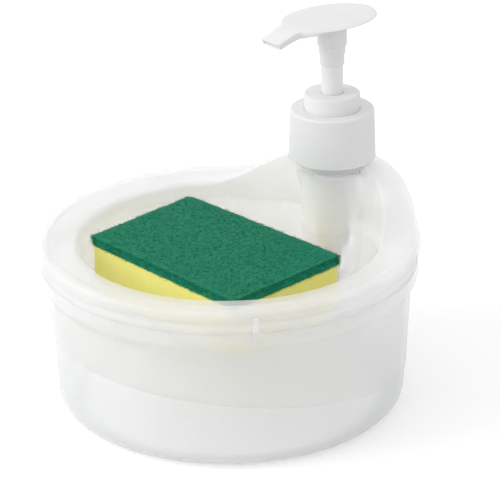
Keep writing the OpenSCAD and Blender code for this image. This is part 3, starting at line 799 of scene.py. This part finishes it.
# Sponge
SPONGE_L, SPONGE_W, SPONGE_CORNER, FOOT_CORNER, FOOT_RISE = 84.9, 56.4, 2.6, 10.0, 6.0
FOAM_Z, FOAM_TOP, PAD_TOP = 39.8, 60.0, 64.0
FIBRES, FIBRE_SEED, FIBRE_STEPS, FIBRE_SIDES = 13000, 11, 3, 3

# The sponge is cut a little out of square: its corners, from the left one round past the front
SPONGE_CORNERS = [Vector(xy) for xy in ((-38.4, -37.4), (45.2, -34.4), (38.9, 22.6), (-45.7, 16.7))]


def sponge_outline(corner=SPONGE_CORNER):
    """The rounded rectangle of the sponge, as points and outward directions before its turn."""
    made = []
    flat_l, flat_w = SPONGE_L / 2 - corner, SPONGE_W / 2 - corner
    for cx, cy, start in ((1, 1, 0), (-1, 1, 90), (-1, -1, 180), (1, -1, 270)):
        for a in np.radians(np.linspace(start, start + 90, 9)):
            nx, ny = math.cos(a), math.sin(a)
            made.append((cx * flat_l + corner * nx, cy * flat_w + corner * ny, nx, ny))
        x0, y0, nx, ny = made[-1]
        x1, y1 = (-x0, y0) if start in (0, 180) else (x0, -y0)
        steps = 68 if start in (0, 180) else 44
        for t in np.linspace(0, 1, steps + 1)[1:-1]:
            made.append((x0 + (x1 - x0) * t, y0 + (y1 - y0) * t, nx, ny))
    return made


def turned(x, y, z):
    """A point of the sponge, given along its length, width and height, in the frame."""
    left, front, right, back = SPONGE_CORNERS
    u, v = x / SPONGE_L + 0.5, y / SPONGE_W + 0.5
    at = left.lerp(front, u).lerp(back.lerp(right, u), v)
    return at.x, at.y, z


def shrunk(x, y, t):
    """A point moved by a share toward the sponge's long middle line."""
    spine_end = SPONGE_L / 2 - SPONGE_W / 2
    spine = max(min(x, spine_end), -spine_end)
    return spine + (x - spine) * (1 - t), y * (1 - t)


def block(name, material, z_low, z_high, edge, side_rows, crown, foot, grain, seed, rough_side, rough_top):
    """A closed block with an uneven skin, its corners rounded to foot at the bottom."""
    outline = sponge_outline()
    footing = sponge_outline(foot)
    columns = len(outline)
    height = z_high - z_low
    rows = []
    for a in np.radians(np.linspace(-90, 0, 4)):
        rows.append((edge * (1 - math.cos(a)), z_low + edge * (1 + math.sin(a))))
    for t in np.linspace(0, 1, side_rows)[1:-1]:
        rows.append((0.0, z_low + edge + (height - 2 * edge) * t))
    for a in np.radians(np.linspace(0, 90, 4)):
        rows.append((edge * (1 - math.cos(a)), z_high - edge * (1 - math.sin(a))))
    points = []

    def skin(x, y, z, nx, ny, nz, rough):
        """The point lifted off the smooth form by a little noise."""
        at = Vector((x * grain, y * grain, z * grain + seed))
        lift = noise.fractal(at, 0.7, 2.0, 3) * rough
        return turned(x + nx * lift, y + ny * lift, z + nz * lift)

    def ring_at(z):
        """The outline at a height, which widens from the squashed foot to the square-cornered top."""
        up = smooth_step(z_low, z_low + FOOT_RISE, z)
        for (x, y, nx, ny), (u, v, _, _) in zip(outline, footing):
            yield u + (x - u) * up, v + (y - v) * up, nx, ny

    def inset_ring(t, z, nz):
        """One ring of the top or the bottom, moved inward by a share and raised by the crown."""
        for x, y, nx, ny in ring_at(z):
            px, py = shrunk(x - nx * edge, y - ny * edge, t)
            reach = 1 - (abs(px) / (SPONGE_L / 2)) ** 4 * 0.5 - (abs(py) / (SPONGE_W / 2)) ** 4 * 0.5
            raised = z + nz * crown * reach * smooth_step(0, 0.5, t)
            points.append(skin(px, py, raised, 0, 0, nz, rough_top))

    for t in (0.86, 0.7, 0.5, 0.3, 0.12):
        inset_ring(t, z_low, -1)
    for inset, z in rows:
        bulge = crown * math.sin(math.pi * (z - z_low) / height)
        inward = inset - bulge * 0.5
        for x, y, nx, ny in ring_at(z):
            points.append(skin(x - nx * inward, y - ny * inward, z, nx, ny, 0, rough_side))
    for t in np.linspace(0, 0.94, 26)[1:]:
        inset_ring(t, z_high, 1)
    total = len(points) // columns
    faces = grid_faces(total, columns)
    # The innermost rings are closed by strips across the block's long middle line
    faces += strip_across(outline, 0, flip=True)
    faces += strip_across(outline, (total - 1) * columns, flip=False)
    return tidy_mesh(piece(name, points, faces, material, 180.0), 0.01, 180.0)


def strip_across(outline, first, flip):
    """Quads between the ring's two long sides, matched by their place along the block."""
    columns = len(outline)
    right = max(range(columns), key=lambda i: (outline[i][0], -abs(outline[i][1])))
    made = []
    i, j = right, (right + 1) % columns
    for _ in range(columns // 2):
        quad = (first + i, first + (i - 1) % columns, first + (j + 1) % columns, first + j)
        if flip:
            quad = tuple(reversed(quad))
        if len(set(quad)) >= 3:
            made.append(tuple(dict.fromkeys(quad)))
        i, j = (i - 1) % columns, (j + 1) % columns
        if i == j or (i - 1) % columns == j:
            break
    return made


def fibre_on_top(rng):
    """A fibre that lies on the pad: its start, heading, tilt, length and thickness."""
    margin = 1.2
    x = rng.uniform(-SPONGE_L / 2 + margin, SPONGE_L / 2 - margin)
    y = rng.uniform(-SPONGE_W / 2 + margin, SPONGE_W / 2 - margin)
    z = PAD_TOP - 0.02 + rng.uniform(-0.1, 0.08)
    heading, tilt = rng.uniform(0, 2 * math.pi), rng.uniform(-0.12, 0.14)
    length, thick = rng.uniform(0.7, 1.7), rng.uniform(0.04, 0.065)
    return (x, y, z), heading, tilt, length, thick


def fibre_at_edge(rng, outline):
    """A fibre that stands out along the pad's edge, given as the one above."""
    x, y, nx, ny = outline[rng.randrange(len(outline))]
    inward = rng.uniform(-0.1, 0.5)
    x = x - nx * inward + rng.uniform(-0.6, 0.6) * ny
    y = y - ny * inward + rng.uniform(-0.6, 0.6) * nx
    z = rng.uniform(FOAM_TOP + 0.35, PAD_TOP)
    heading, tilt = math.atan2(ny, nx) + rng.uniform(-1.1, 1.1), rng.uniform(-0.35, 0.4)
    length, thick = 0.5 + 1.7 * rng.random() ** 2, rng.uniform(0.06, 0.095)
    return (x, y, z), heading, tilt, length, thick


def fibres(name):
    """Curled nylon fibres on the pad and along its edges."""
    rng = random.Random(FIBRE_SEED)
    points, faces = [], []
    outline = sponge_outline()
    for _ in range(FIBRES):
        start, heading, tilt, length, thick = (
            fibre_on_top(rng) if rng.random() < 0.55 else fibre_at_edge(rng, outline)
        )
        curl, dip = rng.uniform(-1.0, 1.0), rng.uniform(0.02, 0.16)
        first = len(points)
        at = np.array(start, float)
        for i in range(FIBRE_STEPS + 1):
            t = i / FIBRE_STEPS
            turn = heading + curl * t
            level = math.cos(tilt)
            way = np.array((math.cos(turn) * level, math.sin(turn) * level, math.sin(tilt - dip * t * 3)))
            across = np.array((-math.sin(turn), math.cos(turn), 0.0))
            over = np.cross(way, across)
            slim = thick * (1 - 0.55 * abs(2 * t - 1) ** 3)
            for k in range(FIBRE_SIDES):
                a = 2 * math.pi * k / FIBRE_SIDES
                p = at + (across * math.cos(a) + over * math.sin(a)) * slim
                points.append(turned(p[0], p[1], min(p[2], PAD_TOP + 0.55)))
            at = at + way * length / FIBRE_STEPS
        for i in range(FIBRE_STEPS):
            low = first + i * FIBRE_SIDES
            for k in range(FIBRE_SIDES):
                m = (k + 1) % FIBRE_SIDES
                faces.append((low + k, low + m, low + FIBRE_SIDES + m, low + FIBRE_SIDES + k))
        faces.append((first + 2, first + 1, first))
        end = first + FIBRE_STEPS * FIBRE_SIDES
        faces.append((end, end + 1, end + 2))
    return piece(name, points, faces, FIBRE, 180.0)


def make_sponge():
    """The foam, the scouring pad on it, and the pad's loose fibres."""
    cushion = block(
        "sponge_block",
        YELLOW,
        FOAM_Z,
        FOAM_TOP,
        edge=0.9,
        side_rows=12,
        crown=0.2,
        foot=FOOT_CORNER,
        grain=0.5,
        seed=3.0,
        rough_side=0.1,
        rough_top=0.06,
    )
    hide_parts("sponge_foam")
    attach(cushion, "sponge")
    mat = block(
        "scour_mat",
        GREEN,
        FOAM_TOP + 0.05,
        PAD_TOP - 0.1,
        edge=0.4,
        side_rows=6,
        crown=0.0,
        foot=SPONGE_CORNER,
        grain=2.4,
        seed=9.0,
        rough_side=0.35,
        rough_top=0.08,
    )
    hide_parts("scour_pad")
    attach(mat, "sponge")
    web = fibres("scour_fibres")
    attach(web, "sponge")


# Cap and collar
def make_closure():
    """The screw cap with its inner thread, and the collar that rises through it."""
    skirt = rounded(
        [(14.0, 85.5), (CAP_R, 85.5), (16.4, 105.4), (10.97, 105.4), (10.97, 103.8), (14.0, 103.8)],
        [0.25, 0.35, 1.0, 0.25, 0, 0.4],
        6,
    )
    cap = lathe("cap_skirt", skirt, WHITE, 192)
    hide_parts("closure_cap")
    inner = thread_rib("cap_thread", 14.3, 13.0, THREAD_Z - THREAD_PITCH / 2, WHITE)
    for part in (cap, inner):
        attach(part, "cap")
    outside = [(5.4, 95.6), (7.35, 95.6), (7.35, 107.2), (8.75, 107.2), (8.75, 102.6), (10.9, 102.6)]
    outside_radii = [0.2, 0.2, 0, 0, 0, 0.1]
    guide = [(10.9, 111.8), (4.35, 111.8), (4.35, 110.0), (5.4, 110.0)]
    guide_radii = [0.75, 0.3, 0, 0]
    stop = [(5.4, 102.6), (4.75, 102.6), (4.75, 100.6), (5.4, 100.6)]
    stop_radii = [0, 0, 0, 0]
    ring = rounded(outside + guide + stop, outside_radii + guide_radii + stop_radii, 6)
    collar = lathe("collar_ring", ring, WHITE, 160)
    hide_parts("lock_collar")
    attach(collar, "pump")


# Return spring
SPRING_WIRE, SPRING_TURNS, PRESS = 0.45, 6.5, 11.2


def make_spring():
    """The coil under the piston, made at the CAD spring's length; the real coil shortens as the head is
    pressed.
    """
    low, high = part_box("return_spring")
    radius = (high.x - low.x) / 2 / MM - SPRING_WIRE
    foot, top = low.z / MM + SPRING_WIRE, high.z / MM - SPRING_WIRE
    steps, around = 200, 10
    points = []
    for i in range(steps + 1):
        a = 2 * math.pi * SPRING_TURNS * i / steps
        z = foot + (top - foot) * i / steps
        for k in range(around):
            b = 2 * math.pi * k / around
            r = radius + SPRING_WIRE * math.cos(b)
            points.append((r * math.cos(a), PUMP_Y + r * math.sin(a), z + SPRING_WIRE * math.sin(b)))
    faces = grid_faces(steps + 1, around)
    faces += [tuple(reversed(range(around))), tuple(range(steps * around, (steps + 1) * around))]
    coil = tidy_mesh(piece("spring_coil", points, faces, STEEL, 50.0), sharp=50.0)
    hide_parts("return_spring")
    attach(coil, "pump")
    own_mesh(coil)


# Head
HEAD_TOP, HEAD_BACK, HEAD_FRONT, HEAD_W, HEAD_SHIFT = 142.8, 21.3, 19.4, 14.8, 2.4
NOZZLE_REACH, NOZZLE_W, MOUTH_TOP, MOUTH_SLANT = 30.8, 5.2, 139.4, 0.9
NOZZLE_RISE, NOZZLE_TAPER, HEAD_BLEND = 0.36, 0.06, 1.6
UNDER_Y = [-31.0, -26.0, -21.5, -17.5, -13.0, -9.0, -3.0]
UNDER_Z = [136.5, 137.8, 138.9, 140.0, 139.9, 139.2, 138.5]
GATE_X, GATE_Y = -8.6, -11.6
HEAD_AROUND = 56

# The mouth's recess: how far each lip is inside the outline, and how deep
MOUTH_LIPS = ((0.8, 0.0), (0.9, 0.1), (0.95, 0.5))


def head_section(y):
    """At y from the stem: half width, heights of top, rim and bottom, and squareness above and below."""
    s = min(abs(y + HEAD_SHIFT) / (HEAD_BACK if y > -HEAD_SHIFT else HEAD_FRONT), 1.0)
    spout = smooth_step(-11.0, -21.0, y)
    wide = HEAD_W * (1 - s**2.12) ** (1 / 2.12)
    if y < -12:
        wide = smooth_max(wide, NOZZLE_W + NOZZLE_TAPER * (y + NOZZLE_REACH), HEAD_BLEND)
    top = -smooth_max(-HEAD_TOP, -MOUTH_TOP - NOZZLE_RISE * (y + NOZZLE_REACH), HEAD_BLEND)
    rim = top - 0.7 - 0.25 * spout
    low = float(np.interp(y, UNDER_Y, UNDER_Z))
    if y > -HEAD_SHIFT:
        low += (rim - 0.5 - low) * smooth_step(0.4, 1.0, s)
    return wide, top, rim, low, 3.2 + 1.3 * spout, 1.0 + 5.0 * spout


def head_height(x, y):
    """Height of the pad's upper surface."""
    wide, top, rim, _, square, _ = head_section(y)
    return rim + (top - rim) * (1 - (abs(x) / wide) ** square) ** (1 / square)


def head_pad():
    """The press pad and its spout in one form, with the mouth's recess at its end."""
    turns = np.radians(np.linspace(89.0, -48.0, 46))
    stations = [-HEAD_SHIFT + (HEAD_BACK if a > 0 else HEAD_FRONT) * math.sin(a) for a in turns]
    stations += list(np.linspace(stations[-1], -NOZZLE_REACH, 34)[1:])
    points = []
    for y in stations:
        wide, top, rim, low, above, below = head_section(y)
        lean = MOUTH_SLANT * smooth_step(-24.0, -NOZZLE_REACH, y)
        for k in range(HEAD_AROUND):
            a = 2 * math.pi * (k + 0.5) / HEAD_AROUND
            c, s = math.cos(a), math.sin(a)
            power = 2 / above if s > 0 else 2 / below
            x = wide * math.copysign(abs(c) ** power, c)
            z = rim + (top - rim if s > 0 else low - rim) * abs(s) ** power
            points.append((x, PUMP_Y + y + lean * (top - z) / (top - low), z))
    faces = grid_faces(len(stations), HEAD_AROUND)
    faces.append(tuple(reversed(range(HEAD_AROUND))))
    end = np.array(points[-HEAD_AROUND:])
    centre = (end.max(axis=0) + end.min(axis=0)) / 2
    half = (end.max(axis=0) - end.min(axis=0)) / 2
    ring = len(points) - HEAD_AROUND
    for lip, depth in MOUTH_LIPS:
        inner = centre + (end - centre) * (1 - lip / half[0], 1, 1 - lip / half[2]) + (0, depth, 0)
        start = len(points)
        points += [tuple(p) for p in inner]
        for k in range(HEAD_AROUND):
            n = (k + 1) % HEAD_AROUND
            faces.append((ring + k, ring + n, start + n, start + k))
        ring = start
    faces.append(tuple(range(ring, ring + HEAD_AROUND)))
    return tidy_mesh(piece("head_pad", points, faces, WHITE, 44.0), sharp=44.0)


def gate_mark():
    """The small round mark that the mould's gate leaves on the pad."""
    z = head_height(GATE_X, GATE_Y)
    section = rounded([(0.02, z - 0.3), (0.7, z - 0.3), (0.6, z + 0.08), (0.02, z)], [0, 0, 0.1, 0])
    gate = lathe("gate_mark", section, INNER_WHITE, 24, centre=0.0)
    for v in gate.data.vertices:
        v.co += Vector((GATE_X, PUMP_Y + GATE_Y, 0)) * MM
    return gate


def make_head():
    """The pad with its spout, the stepped socket under it, and the gate's mark."""
    pad = head_pad()
    steps = [(4.25, 123.5), (4.75, 123.5), (4.75, 128.06), (5.17, 128.06), (5.17, 131.29), (5.71, 131.29)]
    head_end = [(5.71, 139.4), (4.25, 139.4)]
    socket = rounded(steps + head_end, [0.12, 0.25, 0.1, 0.2, 0.1, 0.2, 0, 0])
    tube = lathe("head_socket", socket, WHITE, 128)
    gate = gate_mark()
    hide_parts("actuator_head")
    for part in (pad, tube, gate):
        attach(part, "head")


# Pieces that keep their CAD shape
def dress_cad():
    """The pump's own mouldings keep their CAD shape and get their materials."""
    for names, material in (
        (("pump_housing", "dip_tube"), HOUSING),
        (("spring_seat", "piston_rod", "stem_tube"), INNER_WHITE),
        (("cap_washer", "neck_gasket", "piston_seal", "stem_wiper"), RUBBER),
        (("inlet_ball", "outlet_ball"), STEEL),
    ):
        for name in names:
            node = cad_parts[name]
            if not node.material_slots:
                node.data.materials.append(material)
            for slot in node.material_slots:
                slot.material = material


# Stage
LIGHT_WHITE = (1.0, 1.0, 1.0, 1.0)
TABLE_GREY = (0.82, 0.82, 0.82, 1.0)
WORLD_LIGHT, TABLE_GLOW, TABLE_HALF = 0.88, 0.26, 6000.0

# The key lamp, in metres and watts
KEY_AIM, KEY_DISTANCE, KEY_SIZE, KEY_POWER = Vector((0, 0, 0.06)), 1.5, 1.1, 9.5


def make_world():
    """Soft light on the object, and plain white where the camera, gloss or glass sees the world."""
    studio = Finish(bpy.data.worlds.new("studio"))
    camera, gloss, glass = (
        studio.node("ShaderNodeLightPath", out=ray)
        for ray in ("Is Camera Ray", "Is Glossy Ray", "Is Transmission Ray")
    )
    light = studio.node("ShaderNodeBackground", {}, {"Color": LIGHT_WHITE, "Strength": WORLD_LIGHT})
    white = studio.node("ShaderNodeBackground", {}, {"Color": LIGHT_WHITE, "Strength": 1.0})
    seen = camera.most(gloss).most(glass)
    mixed = studio.node("ShaderNodeMixShader", {}, {0: seen, 1: light, 2: white})
    bpy.context.scene.world = studio.show(mixed, "ShaderNodeOutputWorld")


def make_table():
    """The white floor, which glows a little for the camera alone and keeps the shadow."""
    finish = Finish(bpy.data.materials.new("table_white"))
    rays = finish.node("ShaderNodeLightPath", out="Is Camera Ray")
    plain = finish.node("ShaderNodeBsdfDiffuse", {}, {"Color": TABLE_GREY})
    glow = finish.node("ShaderNodeEmission", {}, {"Color": LIGHT_WHITE, "Strength": TABLE_GLOW})
    both = finish.node("ShaderNodeAddShader", {}, {0: plain, 1: glow})
    material = finish.show(finish.node("ShaderNodeMixShader", {}, {0: rays, 1: plain, 2: both}))
    corners = [(x * TABLE_HALF, y * TABLE_HALF, 0.0) for x, y in ((-1, -1), (1, -1), (1, 1), (-1, 1))]
    table = piece("table", corners, [(0, 1, 2, 3)], material)
    table.location.z = -0.0002


def make_key_lamp():
    """A large soft lamp on the camera's left, above and a little in front."""
    data = bpy.data.lights.new("key", "AREA")
    data.shape, data.size, data.energy = "DISK", KEY_SIZE, KEY_POWER
    lamp = bpy.data.objects.new("key", data)
    bpy.context.scene.collection.objects.link(lamp)
    away = (RIGHT * -1.0 + Vector((0, 0, 1)) * 0.5 - FORWARD * 0.25).normalized()
    lamp.location = KEY_AIM + away * KEY_DISTANCE
    lamp.rotation_mode = "QUATERNION"
    lamp.rotation_quaternion = away.to_track_quat("Z", "Y")


def make_stage():
    """The world, table and lamp, and how the light is followed."""
    make_world()
    make_table()
    make_key_lamp()
    bpy.context.scene.view_settings.view_transform = "Standard"
    bpy.context.scene.cycles.max_bounces = 20
    bpy.context.scene.cycles.diffuse_bounces = 14
    bpy.context.scene.cycles.transparent_max_bounces = 40


make_tub()
make_tray()
make_sponge()
make_closure()
make_spring()
make_head()
dress_cad()
make_stage()
